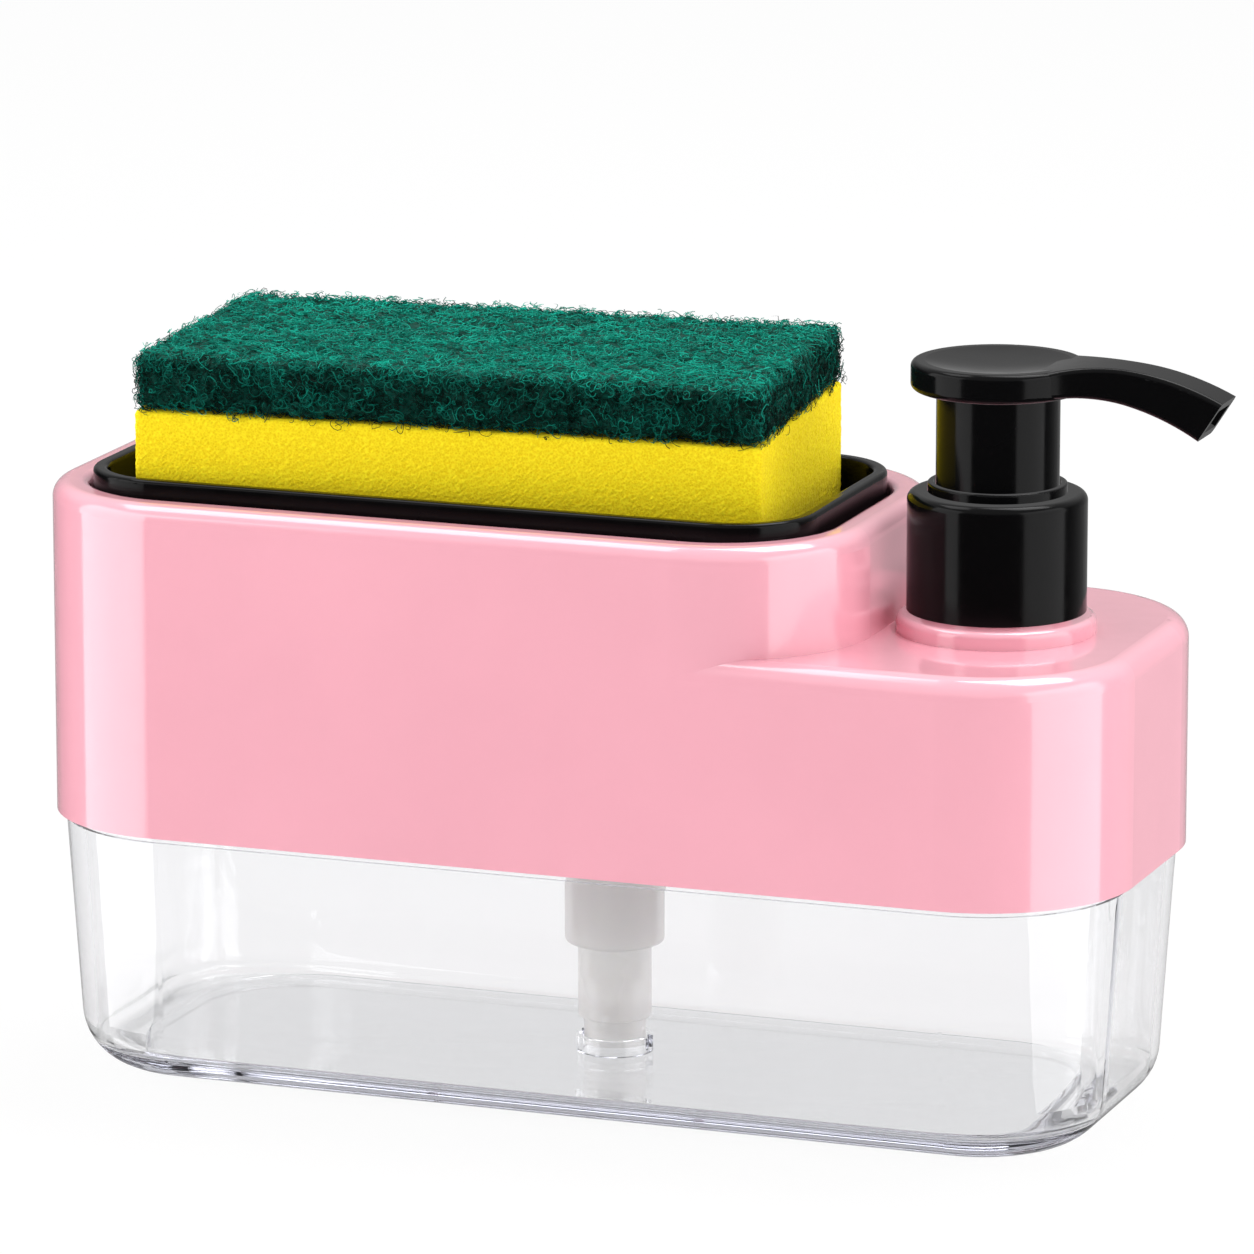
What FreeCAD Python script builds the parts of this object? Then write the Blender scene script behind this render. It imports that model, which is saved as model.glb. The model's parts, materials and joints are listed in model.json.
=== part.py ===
import FreeCAD, Part
import math
import os
import Sketcher

# Soap pump caddy: clear soap tank, pink cover with a raised sponge well, sponge tray,
# two-layer sponge and a press pump. Millimetres, +Z up, +X towards the pump, front is -Y.
# The origin is the middle of the tank's underside.

doc = FreeCAD.newDocument("soap_pump_caddy")
os.makedirs("parts", exist_ok=True)
sheet = doc.addObject("Spreadsheet::Sheet", "Sizes")
V = FreeCAD.Vector


# A size carries its number and the formula that the model binds to.

class Dim:
    def __init__(self, value, text):
        self.value = value
        self.text = text

    def __add__(self, other):
        other = as_dim(other)
        return Dim(self.value + other.value, "(%s + %s)" % (self.text, other.text))

    def __sub__(self, other):
        other = as_dim(other)
        return Dim(self.value - other.value, "(%s - %s)" % (self.text, other.text))

    def __mul__(self, other):
        other = as_dim(other)
        return Dim(self.value * other.value, "(%s * %s)" % (self.text, other.text))

    def __truediv__(self, other):
        other = as_dim(other)
        return Dim(self.value / other.value, "(%s / %s)" % (self.text, other.text))

    def __neg__(self):
        return Dim(-self.value, "(0 - %s)" % self.text)

    def __radd__(self, other):
        return as_dim(other) + self

    def __rsub__(self, other):
        return as_dim(other) - self

    def __rmul__(self, other):
        return as_dim(other) * self


def as_dim(value):
    if isinstance(value, Dim):
        return value
    return Dim(float(value), "%g" % value)


def root(dim):
    return Dim(math.sqrt(dim.value), "sqrt(%s)" % dim.text)


def size(name, value, meaning):
    """One row of the sheet: name, number, meaning."""
    size.row += 1
    sheet.set("A%d" % size.row, name)
    sheet.set("B%d" % size.row, "%g" % value)
    sheet.set("C%d" % size.row, meaning)
    sheet.setAlias("B%d" % size.row, name)
    return Dim(float(value), "Sizes." + name)


size.row = 0

# Overall form

skirt_length = size("skirt_length", 210, "length of the cover along X")
skirt_width = size("skirt_width", 86.4, "depth of the cover along Y")
corner_radius = size("corner_radius", 28.5, "corner radius of the cover in plan")
skirt_bottom = size("skirt_bottom", 49.3, "height of the cover's lower edge")
skirt_height = size("skirt_height", 42.5, "pump deck above the cover's lower edge")
tub_rise = size("tub_rise", 20.4, "sponge well's rim above the deck")
tub_right = size("tub_right", 54.5, "right-hand face of the sponge well")
deck_round = size("deck_round", 4, "rounding of the deck's edge")
tub_round = size("tub_round", 3.2, "rounding of the well rim's outer edge")
skirt_wall = size("skirt_wall", 2.2, "wall of the cover")
deck_plate = size("deck_plate", 2.5, "thickness of the deck")
rim_width = size("rim_width", 7, "width of the well's rim")
rim_inner_round = size("rim_inner_round", 1.6, "rounding of the rim's inner edge")
rim_roof = size("rim_roof", 4.3, "rim above the hollow of the well's wall")

half_length = skirt_length / 2
half_width = skirt_width / 2
deck_height = skirt_bottom + skirt_height
tub_height = deck_height + tub_rise

# Tank

tank_inset = size("tank_inset", 1.8, "tank wall behind the cover's face")
tank_taper = size("tank_taper", 3.2, "tank wall's lean, top to bottom")
tank_foot_round = size("tank_foot_round", 11, "rounding of the tank's lower edge")
shoulder_drop = size("shoulder_drop", 1.3, "tank shoulder below the cover's edge")
lip_gap = size("lip_gap", 0.4, "gap between tank lip and cover")
lip_wall = size("lip_wall", 2.2, "wall of the tank's lip")
lip_rise = size("lip_rise", 10.7, "tank lip above the cover's edge")
tank_wall = size("tank_wall", 2.4, "wall of the tank near its floor")
floor_top = size("floor_top", 6, "top of the tank floor")
floor_round = size("floor_round", 2.2, "rounding inside the tank's lower edge")
panel_rise = size("panel_rise", 1.5, "floor panel above the trough around it")
panel_gap = size("panel_gap", 0.6, "trough along the front and back")
panel_end_gap = size("panel_end_gap", 6.5, "trough at the ends")
panel_corner = size("panel_corner", 20, "corner radius of the floor panel")
panel_round = size("panel_round", 1, "rounding of the floor panel's edge")
floor_ring_rise = size("floor_ring_rise", 3, "locating ring above the floor")
floor_ring_wall = size("floor_ring_wall", 1, "wall of the locating ring")
floor_ring_slot = size("floor_ring_slot", 2.4, "width of the inflow slots in the ring")
slot_depth = size("slot_depth", 2.4, "depth of those slots")

lip_top = skirt_bottom + lip_rise
shoulder = skirt_bottom - shoulder_drop
trough = floor_top - panel_rise

# Sponge tray and sponge

tray_gap = size("tray_gap", 1.9, "gap between tray and well")
tray_wall = size("tray_wall", 2.8, "wall of the tray")
tray_radius = size("tray_radius", 15.6, "corner radius of the tray")
tray_rise = size("tray_rise", 2.8, "tray rim above the well's rim")
tray_foot = size("tray_foot", 3.2, "height of the tray's feet")
tray_foot_radius = size("tray_foot_radius", 4, "radius of the tray's feet")
tray_floor = size("tray_floor", 2.2, "thickness of the tray's floor")
tray_edge = size("tray_edge", 0.9, "rounding of the tray's rim")
tray_bottom_round = size("tray_bottom_round", 2.5, "rounding of the tray's lower edge")
ridge_height = size("ridge_height", 1.5, "ridges that hold the sponge off the floor")
ridge_width = size("ridge_width", 2, "width of a ridge")
drain_width = size("drain_width", 3, "width of a drain slot")
drain_length = size("drain_length", 38, "length of a drain slot")
drain_pitch = size("drain_pitch", 16, "spacing of slots and ridges")
sponge_end_gap = size("sponge_end_gap", 7.55, "space at each end of the sponge")
sponge_side_gap = size("sponge_side_gap", 4.3, "space in front of the sponge and behind it")
sponge_corner = size("sponge_corner", 3, "corner radius of the sponge")
foam_height = size("foam_height", 29.8, "height of the foam layer in the middle")
pad_height = size("pad_height", 11, "height of the scouring layer")
sponge_turn = size("sponge_turn", 3, "turn of the sponge in the tray, degrees")
sponge_squeeze = size("sponge_squeeze", 2.6, "foam's back edge above its front edge")

tray_margin = rim_width + tray_gap
tray_left = tray_margin - half_length
tray_right = tub_right - tray_margin
tray_back = half_width - tray_margin
tray_bottom = deck_height + tray_foot
tray_inside = tray_bottom + tray_floor
tray_top = tub_height + tray_rise
tray_middle = (tray_left + tray_right) / 2
sponge_length = tray_right - tray_left - 2 * (tray_wall + sponge_end_gap)
sponge_depth = 2 * (tray_back - tray_wall - sponge_side_gap)
sponge_bottom = tray_inside + ridge_height
foam_top = sponge_bottom + foam_height

# Pump, outside

boss_radius = size("boss_radius", 18.4, "ring on the deck under the closure")
boss_gap = size("boss_gap", 1, "space from the well's wall to that ring")
boss_rise = size("boss_rise", 3.2, "height of that ring")
boss_round = size("boss_round", 1.3, "rounding of that ring")
closure_gap = size("closure_gap", 0.7, "gap between ring and closure")
closure_radius = size("closure_radius", 16.5, "radius of the closure")
closure_height = size("closure_height", 22, "height of the closure")
closure_wall = size("closure_wall", 1.5, "wall of the closure")
closure_round = size("closure_round", 1.6, "rounding of the closure's top edge")
collar_rise = size("collar_rise", 1.7, "ring on top of the closure")
collar_wall = size("collar_wall", 1.1, "wall of that ring")
collar_round = size("collar_round", 0.4, "rounding of that ring")
head_skirt_inset = size("head_skirt_inset", 5.2, "skirt of the pump head inside the closure's face")
head_skirt_wall = size("head_skirt_wall", 1.3, "wall of the head's skirt")
head_gap = size("head_gap", 0.4, "gap around the head's skirt")
head_overlap = size("head_overlap", 2.1, "head's skirt inside the collar ring")
disc_radius = size("disc_radius", 16, "finger disc")
head_rise = size("head_rise", 17.1, "finger disc above the collar ring")
disc_height = size("disc_height", 5.4, "thickness of the finger disc")
disc_round = size("disc_round", 1.2, "rounding of the disc")
dish_radius = size("dish_radius", 70, "curve of the disc's hollow")
dish_depth = size("dish_depth", 1.3, "depth of the disc's hollow")
spout_width = size("spout_width", 9.6, "width of the spout")
spout_root = size("spout_root", 9.6, "start of the spout from the axis")
spout_inset = size("spout_inset", 0.5, "start of the spout inside the disc's faces")
spout_wall = size("spout_wall", 1.3, "wall of the spout")
spout_tip_back = size("spout_tip_back", 4.6, "slant of the spout's end along X")
spout_drop = size("spout_drop", 4.5, "upper edge of the spout's end below the disc's top")
spout_tip_height = size("spout_tip_height", 7.2, "height of the spout's end")
spout_top_radius = size("spout_top_radius", 52, "curve of the spout's back")
spout_under_radius = size("spout_under_radius", 46, "curve of the spout's underside")
blend_inset = size("blend_inset", 0.3, "start of the spout's side curve inside the disc's edge")
spout_neck = size("spout_neck", 10, "start of the spout's straight sides beyond the disc")
spout_run = size("spout_run", 17.6, "straight sides of the spout, up to its upper tip")
spout_edge = size("spout_edge", 1, "rounding along the spout's back")
channel_height = size("channel_height", 1.7, "height of the soap channel in the disc")

pump_x = tub_right + boss_gap + boss_radius
boss_top = deck_height + boss_rise
closure_bottom = boss_top + closure_gap
closure_top = closure_bottom + closure_height
collar_top = closure_top + collar_rise
head_skirt_radius = closure_radius - head_skirt_inset
collar_bore = head_skirt_radius + head_gap
head_bottom = collar_top - head_overlap
disc_bottom = collar_top + head_rise
disc_top = disc_bottom + disc_height
spout_tip_top = disc_top - spout_drop
spout_tip_bottom = spout_tip_top - spout_tip_height
spout_straight = disc_radius + spout_neck
spout_reach = spout_straight + spout_run

# Pump, inside

neck_inset = size("neck_inset", 2.8, "neck inside the closure's face")
neck_rise = size("neck_rise", 7, "neck above the ring")
neck_bead = size("neck_bead", 0.5, "snap bead on the neck")
neck_bead_drop = size("neck_bead_drop", 3.2, "snap bead below the neck's top")
housing_radius = size("housing_radius", 8.2, "outside of the pump housing")
housing_bore = size("housing_bore", 6.6, "bore of the pump housing")
housing_gap = size("housing_gap", 0.5, "gap between housing and neck")
housing_flange = size("housing_flange", 1.5, "thickness of the housing's flange")
housing_length = size("housing_length", 44.8, "pump housing below its flange")
housing_floor = size("housing_floor", 2, "floor of the pump housing")
gasket_height = size("gasket_height", 0.8, "thickness of the neck gasket")
flange_inset = size("flange_inset", 0.3, "flange and gasket inside the neck's face")
insert_wall = size("insert_wall", 1, "wall of the closure's insert")
insert_slack = size("insert_slack", 0.1, "slack of the insert in the closure")
insert_flange = size("insert_flange", 1.5, "thickness of the insert's flange")
guide_radius = size("guide_radius", 9.5, "flange of the stem guide")
guide_reach = size("guide_reach", 7.3, "stem guide inside the housing")
guide_slack = size("guide_slack", 0.1, "slack of the guide in the housing")
stem_radius = size("stem_radius", 4, "outside of the stem")
stem_bore = size("stem_bore", 2.4, "bore of the stem")
stem_slack = size("stem_slack", 0.08, "running fit of the stem")
stem_gap = size("stem_gap", 3.5, "top of the stem below the finger disc")
stem_foot = size("stem_foot", 2, "stem above the piston's underside")
piston_slack = size("piston_slack", 0.06, "running fit of the piston")
piston_waist = size("piston_waist", 0.7, "waist between the piston's lips")
piston_lip = size("piston_lip", 2.2, "height of a piston lip")
piston_height = size("piston_height", 10.8, "height of the piston")
piston_stop = size("piston_stop", 0.4, "gap between piston and guide at rest")
spring_wire = size("spring_wire", 1, "wire of the return spring")
spring_radius = size("spring_radius", 4.7, "mean radius of the return spring")
spring_turns = size("spring_turns", 6, "turns of the return spring")
spring_slack = size("spring_slack", 0.1, "gap at each end of the spring")
socket_wall = size("socket_wall", 2, "wall of the head's stem socket")
socket_depth = size("socket_depth", 12, "stem inside the head's socket")
head_slack = size("head_slack", 0.05, "turning fit of the head on the stem")
outlet_ball_radius = size("outlet_ball_radius", 1.9, "ball in the stem's top")
outlet_seat = size("outlet_seat", 1.2, "hole of that ball's seat")
outlet_seat_drop = size("outlet_seat_drop", 6, "seat below the stem's top")
seat_plate = size("seat_plate", 1.2, "thickness of a ball seat")
ball_side_gap = size("ball_side_gap", 0.4, "gap around a ball")
ball_seat_gap = size("ball_seat_gap", 0.03, "gap between ball and seat")

neck_radius = closure_radius - neck_inset
neck_top = boss_top + neck_rise
neck_bore = housing_radius + housing_gap
flange_radius = neck_radius - flange_inset
flange_bottom = neck_top + gasket_height
flange_top = flange_bottom + housing_flange
guide_top = flange_top + insert_flange
guide_bottom = flange_bottom - guide_reach
guide_bore = stem_radius + stem_slack
piston_top = guide_bottom - piston_stop
piston_bottom = piston_top - piston_height
piston_radius = housing_bore - piston_slack
housing_bottom = flange_bottom - housing_length
spring_seat = housing_bottom + housing_floor
stem_top = disc_bottom - stem_gap
socket_bottom = stem_top - socket_depth
outlet_seat_top = stem_top - outlet_seat_drop

# Suction pipe and pick-up

pipe_rise = size("pipe_rise", 6.5, "suction pipe above the housing's underside")
pipe_wall = size("pipe_wall", 1.2, "wall of the suction pipe")
pipe_slack = size("pipe_slack", 0.05, "slack of the pipe on its spigots")
spigot_radius = size("spigot_radius", 3, "outside of a spigot")
spigot_bore = size("spigot_bore", 1.8, "bore of a spigot")
spigot_reach = size("spigot_reach", 10, "length of a spigot")
spigot_gap = size("spigot_gap", 1, "pipe end short of the spigot's root")
pickup_radius = size("pickup_radius", 9.35, "upper pick-up tube")
pickup_wall = size("pickup_wall", 1.4, "wall of the pick-up tube")
step_round = size("step_round", 1, "rounding of its lower edge")
step_rise = size("step_rise", 21, "step in the pick-up above the tank floor")
elbow_drop = size("elbow_drop", 6, "top of the pick-up tube below the pipe")
pickup_slack = size("pickup_slack", 0.05, "slack of plugs in the pick-up tube")
pickup_plug = size("pickup_plug", 9, "length of a plug in the pick-up tube")
elbow_height = size("elbow_height", 11, "height of the pick-up elbow's body")
elbow_bore = size("elbow_bore", 5, "bore of the pick-up elbow")
elbow_post = size("elbow_post", 5.9, "post of the elbow in the cover's socket")
post_gap = size("post_gap", 0.3, "gap between post and deck")
post_slack = size("post_slack", 0.05, "slack of the post in its socket")
post_socket_wall = size("post_socket_wall", 2, "wall of the cover's socket")
post_socket_depth = size("post_socket_depth", 9, "depth of the cover's socket")
foot_radius = size("foot_radius", 6.9, "lower pick-up tube")
foot_tip_radius = size("foot_tip_radius", 5.8, "tip of the pick-up")
foot_tip_height = size("foot_tip_height", 5, "height of that tip")
foot_tip_round = size("foot_tip_round", 0.5, "rounding above the tip")
foot_floor_gap = size("foot_floor_gap", 1.6, "tip above the tank floor")
foot_ring_gap = size("foot_ring_gap", 0.4, "gap between tip and locating ring")
inlet_ball_radius = size("inlet_ball_radius", 3.2, "ball in the pick-up")
inlet_seat = size("inlet_seat", 2, "hole of that ball's seat")
inlet_chamber = size("inlet_chamber", 10, "height of the ball's chamber")
inlet_throat = size("inlet_throat", 2.5, "outlet of the ball's chamber")

pipe_height = housing_bottom + pipe_rise
pickup_step = floor_top + step_rise
pickup_top = pipe_height - elbow_drop
foot_bottom = floor_top + foot_floor_gap
foot_plug_top = pickup_step + pickup_plug
elbow_top = pickup_top + elbow_height
inlet_seat_top = foot_bottom + seat_plate
floor_ring_bore = foot_tip_radius + foot_ring_gap

# Ribs inside the cover that stand on the tank's lip

rib_width = size("rib_width", 2, "width of a stop rib")
rib_reach = size("rib_reach", 6, "reach of a stop rib from the cover's wall")
rib_height = size("rib_height", 9, "height of a stop rib")
rib_spacing = size("rib_spacing", 55, "spacing of the stop ribs along X")


# Drawing helpers

def bind(obj, prop, dim):
    obj.setExpression(prop, as_dim(dim).text)


def new_body(label):
    body = doc.addObject("PartDesign::Body", label)
    body.Label = label
    return body


def plane(body, role):
    for feature in body.Origin.OriginFeatures:
        if feature.Role == role:
            return feature
    raise ValueError(role)


def new_sketch(body, name, role, lift=0, shift=0):
    """Sketch on one of the body's own planes, lifted along the plane's normal, shifted along its X."""
    sketch = body.newObject("Sketcher::SketchObject", body.Label + "_" + name)
    sketch.AttachmentSupport = [(plane(body, role), "")]
    sketch.MapMode = "FlatFace"
    bind(sketch, "AttachmentOffset.Base.z", lift)
    bind(sketch, "AttachmentOffset.Base.x", shift)
    return sketch


def fix(sketch, kind, first, dim):
    """Add one dimension and bind it to the sheet."""
    dim = as_dim(dim)
    index = sketch.addConstraint(Sketcher.Constraint(kind, *first, dim.value))
    sketch.setExpression("Constraints[%d]" % index, dim.text)


def fix_point(sketch, geo, pos, x, y):
    fix(sketch, "DistanceX", (-1, 1, geo, pos), x)
    fix(sketch, "DistanceY", (-1, 1, geo, pos), y)


def draw_circle(sketch, radius, x=0, y=0):
    x = as_dim(x)
    y = as_dim(y)
    geo = sketch.addGeometry(Part.Circle(V(x.value, y.value, 0), V(0, 0, 1), radius.value))
    fix(sketch, "Radius", (geo,), radius)
    fix_point(sketch, geo, 3, x, y)


def draw_outline(sketch, points):
    """Closed outline. A point is (x, y) for a straight run to the next point, or (x, y, radius, side)
    for an arc to the next point that bulges to the left (side 1) or right (side -1)."""
    first = sketch.GeometryCount
    count = len(points)
    starts = []
    for i, point in enumerate(points):
        a = V(as_dim(point[0]).value, as_dim(point[1]).value, 0)
        following = points[(i + 1) % count]
        b = V(as_dim(following[0]).value, as_dim(following[1]).value, 0)
        if len(point) == 2:
            sketch.addGeometry(Part.LineSegment(a, b))
            starts.append((1, 2))
            continue
        radius = as_dim(point[2])
        side = point[3]
        chord = b - a
        half = chord.Length / 2
        left = V(-chord.y, chord.x, 0)
        left.normalize()
        rise = radius.value - math.sqrt(radius.value ** 2 - half ** 2)
        middle = (a + b) * 0.5 + left * (rise * side)
        arc = Part.Arc(a, middle, b)
        geo = sketch.addGeometry(arc)
        begin = sketch.getPoint(geo, 1)
        starts.append((1, 2) if begin.distanceToPoint(a) < begin.distanceToPoint(b) else (2, 1))
    for i, point in enumerate(points):
        geo = first + i
        after = (i + 1) % count
        sketch.addConstraint(Sketcher.Constraint("Coincident", geo, starts[i][1],
                                                 first + after, starts[after][0]))
    for i, point in enumerate(points):
        geo = first + i
        fix_point(sketch, geo, starts[i][0], point[0], point[1])
        if len(point) == 4:
            fix(sketch, "Radius", (geo,), point[2])


def draw_rounded(sketch, x0, x1, y0, y1, radius):
    """Rectangle with rounded corners, drawn anticlockwise as four straights and four arcs."""
    x0, x1, y0, y1, radius = [as_dim(v) for v in (x0, x1, y0, y1, radius)]
    draw_outline(sketch, [
        (x0 + radius, y0), (x1 - radius, y0, radius, -1),
        (x1, y0 + radius), (x1, y1 - radius, radius, -1),
        (x1 - radius, y1), (x0 + radius, y1, radius, -1),
        (x0, y1 - radius), (x0, y0 + radius, radius, -1),
    ])


def draw_box(sketch, x0, x1, y0, y1):
    draw_outline(sketch, [(x0, y0), (x1, y0), (x1, y1), (x0, y1)])


def add(body, kind, name, sketch):
    feature = body.newObject("PartDesign::" + kind, body.Label + "_" + name)
    feature.Profile = sketch
    sketch.Visibility = False
    body.Tip = feature
    return feature


def pad(body, name, sketch, length, middle=False, reverse=False):
    feature = add(body, "Pad", name, sketch)
    feature.Midplane = middle
    feature.Reversed = reverse
    bind(feature, "Length", length)
    doc.recompute()
    return feature


def pocket(body, name, sketch, length, middle=False, reverse=False):
    feature = add(body, "Pocket", name, sketch)
    feature.Midplane = middle
    feature.Reversed = reverse
    bind(feature, "Length", length)
    doc.recompute()
    return feature


def turn(body, name, points, shift=0):
    """Turned form: outline of (radius, height) pairs about the body's Z axis, moved along X by shift."""
    sketch = new_sketch(body, name + "_outline", "XZ_Plane", 0, shift)
    draw_outline(sketch, points)
    feature = add(body, "Revolution", name, sketch)
    feature.ReferenceAxis = (sketch, ["V_Axis"])
    feature.Angle = 360
    doc.recompute()
    return feature


def slope(run, rise):
    """Angle of a wall that leans by run over rise, in degrees."""
    return Dim(math.degrees(math.atan(run.value / rise.value)), "atan(%s / %s)" % (run.text, rise.text))


def upright(face):
    """A wall: a face that reaches from one height to another and stands straight up."""
    box = face.BoundBox
    u0, u1, v0, v1 = face.ParameterRange
    normal = face.normalAt((u0 + u1) / 2, (v0 + v1) / 2)
    return box.ZLength > 1e-3 and abs(normal.z) < 1e-6


def lean(body, name, angle, height, wanted, reverse=False):
    """Lean the chosen walls about a flat face at a height."""
    base = body.Tip
    walls = []
    level = None
    for i, face in enumerate(base.Shape.Faces):
        box = face.BoundBox
        if wanted(face):
            walls.append("Face%d" % (i + 1))
        elif box.ZLength < 1e-6 and abs(box.ZMin - height.value) < 1e-4:
            level = "Face%d" % (i + 1)
    feature = body.newObject("PartDesign::Draft", body.Label + "_" + name)
    feature.Base = (base, walls)
    feature.NeutralPlane = (base, [level])
    feature.Reversed = reverse
    body.Tip = feature
    bind(feature, "Angle", angle)
    doc.recompute()
    return feature


def round_off(body, name, radius, wanted):
    """Round those edges of the body that the test picks."""
    base = body.Tip
    names = []
    for i, edge in enumerate(base.Shape.Edges):
        if wanted(edge):
            names.append("Edge%d" % (i + 1))
    if not names:
        raise ValueError("no edge for " + body.Label + " " + name)
    feature = body.newObject("PartDesign::Fillet", body.Label + "_" + name)
    feature.Base = (base, names)
    body.Tip = feature
    bind(feature, "Radius", radius)
    doc.recompute()
    return feature


def flat_at(edge, height):
    box = edge.BoundBox
    return abs(box.ZMin - height.value) < 1e-4 and abs(box.ZMax - height.value) < 1e-4


def ring_at(height, radius, x=0, y=0):
    """Test for a full circle of this radius at this height."""
    def test(edge):
        box = edge.BoundBox
        centred = abs(box.Center.x - as_dim(x).value) < 1e-3 and abs(box.Center.y - as_dim(y).value) < 1e-3
        return flat_at(edge, height) and centred and abs(box.XLength / 2 - radius.value) < 1e-3
    return test


def inside(edge, x0, x1, y0, y1):
    box = edge.BoundBox
    slack = 1e-3
    across = box.XMin > as_dim(x0).value - slack and box.XMax < as_dim(x1).value + slack
    return across and box.YMin > as_dim(y0).value - slack and box.YMax < as_dim(y1).value + slack


def move(body, x=0, y=0, z=0):
    bind(body, "Placement.Base.x", x)
    bind(body, "Placement.Base.y", y)
    bind(body, "Placement.Base.z", z)


def outline_at(body, name, height, inset):
    """The cover's plan outline at a height, drawn in by an inset."""
    sketch = new_sketch(body, name, "XY_Plane", height)
    x = half_length - inset
    y = half_width - inset
    draw_rounded(sketch, -x, x, -y, y, corner_radius - inset)
    return sketch


# Tank: tapered clear tub with a lip that stands inside the cover

tank = new_body("tank")
tank_outline = outline_at(tank, "outline", shoulder, tank_inset)
pad(tank, "outside", tank_outline, shoulder, reverse=True)
lean(tank, "outside_lean", slope(tank_taper, shoulder), shoulder, upright, reverse=True)
round_off(tank, "foot_round", tank_foot_round, lambda e: flat_at(e, as_dim(0)))
lip = outline_at(tank, "lip_outline", shoulder, skirt_wall + lip_gap)
pad(tank, "lip", lip, lip_top - shoulder)
floor_inset = tank_inset + tank_taper + tank_wall
mouth_inset = skirt_wall + lip_gap + lip_wall
pocket(tank, "inside", outline_at(tank, "inside_outline", lip_top, floor_inset), lip_top - trough)
lean(tank, "inside_lean", slope(floor_inset - mouth_inset, lip_top - trough), trough,
     lambda f: upright(f) and abs(f.BoundBox.ZMin - trough.value) < 1e-4)
round_off(tank, "floor_round", floor_round, lambda e: flat_at(e, trough))
panel = new_sketch(tank, "panel_outline", "XY_Plane", trough)
panel_x = half_length - floor_inset - floor_round - panel_end_gap
panel_y = half_width - floor_inset - floor_round - panel_gap
draw_rounded(panel, -panel_x, panel_x, -panel_y, panel_y, panel_corner)
pad(tank, "panel", panel, panel_rise)
round_off(tank, "panel_round", panel_round, lambda e: flat_at(e, floor_top))
ring = new_sketch(tank, "ring_outline", "XY_Plane", floor_top)
draw_circle(ring, floor_ring_bore + floor_ring_wall)
draw_circle(ring, floor_ring_bore)
pad(tank, "ring", ring, floor_ring_rise)
slots = new_sketch(tank, "ring_slot_outline", "XY_Plane", floor_top + floor_ring_rise)
slot_reach = floor_ring_bore + 2 * floor_ring_wall
for side in (-1, 1):
    draw_box(slots, *sorted((side * floor_ring_bore - side * floor_ring_wall, side * slot_reach),
                            key=lambda d: d.value), -floor_ring_slot / 2, floor_ring_slot / 2)
pocket(tank, "ring_slots", slots, slot_depth)

# Cover: skirt and deck, raised sponge well, neck for the pump, socket for the pick-up, stop ribs

shell = new_body("shell")
pad(shell, "block", outline_at(shell, "block_outline", skirt_bottom, 0), deck_height - skirt_bottom)
round_off(shell, "deck_round", deck_round, lambda e: flat_at(e, deck_height))


def tub_outline(name, height, inset):
    sketch = new_sketch(shell, name, "XY_Plane", height)
    draw_rounded(sketch, inset - half_length, tub_right - inset, inset - half_width, half_width - inset,
                 corner_radius - inset)
    return sketch


pad(shell, "tub", tub_outline("tub_outline", skirt_bottom, as_dim(0)), tub_height - skirt_bottom)
round_off(shell, "tub_round", tub_round, lambda e: flat_at(e, tub_height))
pocket(shell, "hollow", outline_at(shell, "hollow_outline", skirt_bottom, skirt_wall),
       deck_height - deck_plate - skirt_bottom, reverse=True)
pocket(shell, "well", tub_outline("well_outline", tub_height, rim_width), tub_height - deck_height)
round_off(shell, "well_round", rim_inner_round,
          lambda e: flat_at(e, tub_height) and inside(e, rim_width - half_length, tub_right - rim_width,
                                                      rim_width - half_width, half_width - rim_width))
core = new_sketch(shell, "core_outline", "XY_Plane", skirt_bottom)
for inset in (skirt_wall, rim_width - skirt_wall):
    draw_rounded(core, inset - half_length, tub_right - inset, inset - half_width, half_width - inset,
                 corner_radius - inset)
pocket(shell, "core", core, tub_height - rim_roof - skirt_bottom, reverse=True)
neck_root = deck_height - deck_plate / 2
bead_low = neck_top - neck_bead_drop
turn(shell, "neck", [
    (neck_bore, neck_root), (boss_radius, neck_root), (boss_radius, boss_top), (neck_radius, boss_top),
    (neck_radius, bead_low - neck_bead), (neck_radius + neck_bead, bead_low),
    (neck_radius + neck_bead, bead_low + neck_bead), (neck_radius, bead_low + 2 * neck_bead),
    (neck_radius, neck_top), (neck_bore, neck_top)], pump_x)
round_off(shell, "boss_round", boss_round, ring_at(boss_top, boss_radius, pump_x))
hole = new_sketch(shell, "pump_hole", "XY_Plane", deck_height + boss_rise / 2)
draw_circle(hole, neck_bore, pump_x)
pocket(shell, "pump_opening", hole, boss_rise + 2 * deck_plate)
socket_low = deck_height - deck_plate - post_socket_depth
socket = new_sketch(shell, "socket_outline", "XY_Plane", socket_low)
draw_circle(socket, elbow_post + post_slack + post_socket_wall)
draw_circle(socket, elbow_post + post_slack)
pad(shell, "socket", socket, post_socket_depth + deck_plate / 2)
ribs = new_sketch(shell, "rib_outline", "XY_Plane", lip_top)
rib_back = half_width - skirt_wall / 2
rib_front = rib_back - rib_reach
for step in (-1, 0, 1):
    middle = step * rib_spacing
    draw_box(ribs, middle - rib_width / 2, middle + rib_width / 2, -rib_back, -rib_front)
    draw_box(ribs, middle - rib_width / 2, middle + rib_width / 2, rib_front, rib_back)
rib_end = half_length - skirt_wall / 2
draw_box(ribs, -rib_end, rib_reach - rib_end, -rib_width / 2, rib_width / 2)
draw_box(ribs, rib_end - rib_reach, rib_end, -rib_width / 2, rib_width / 2)
pad(shell, "ribs", ribs, rib_height)

# Sponge tray: open box on four feet, ridges and drain slots in its floor

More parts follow.
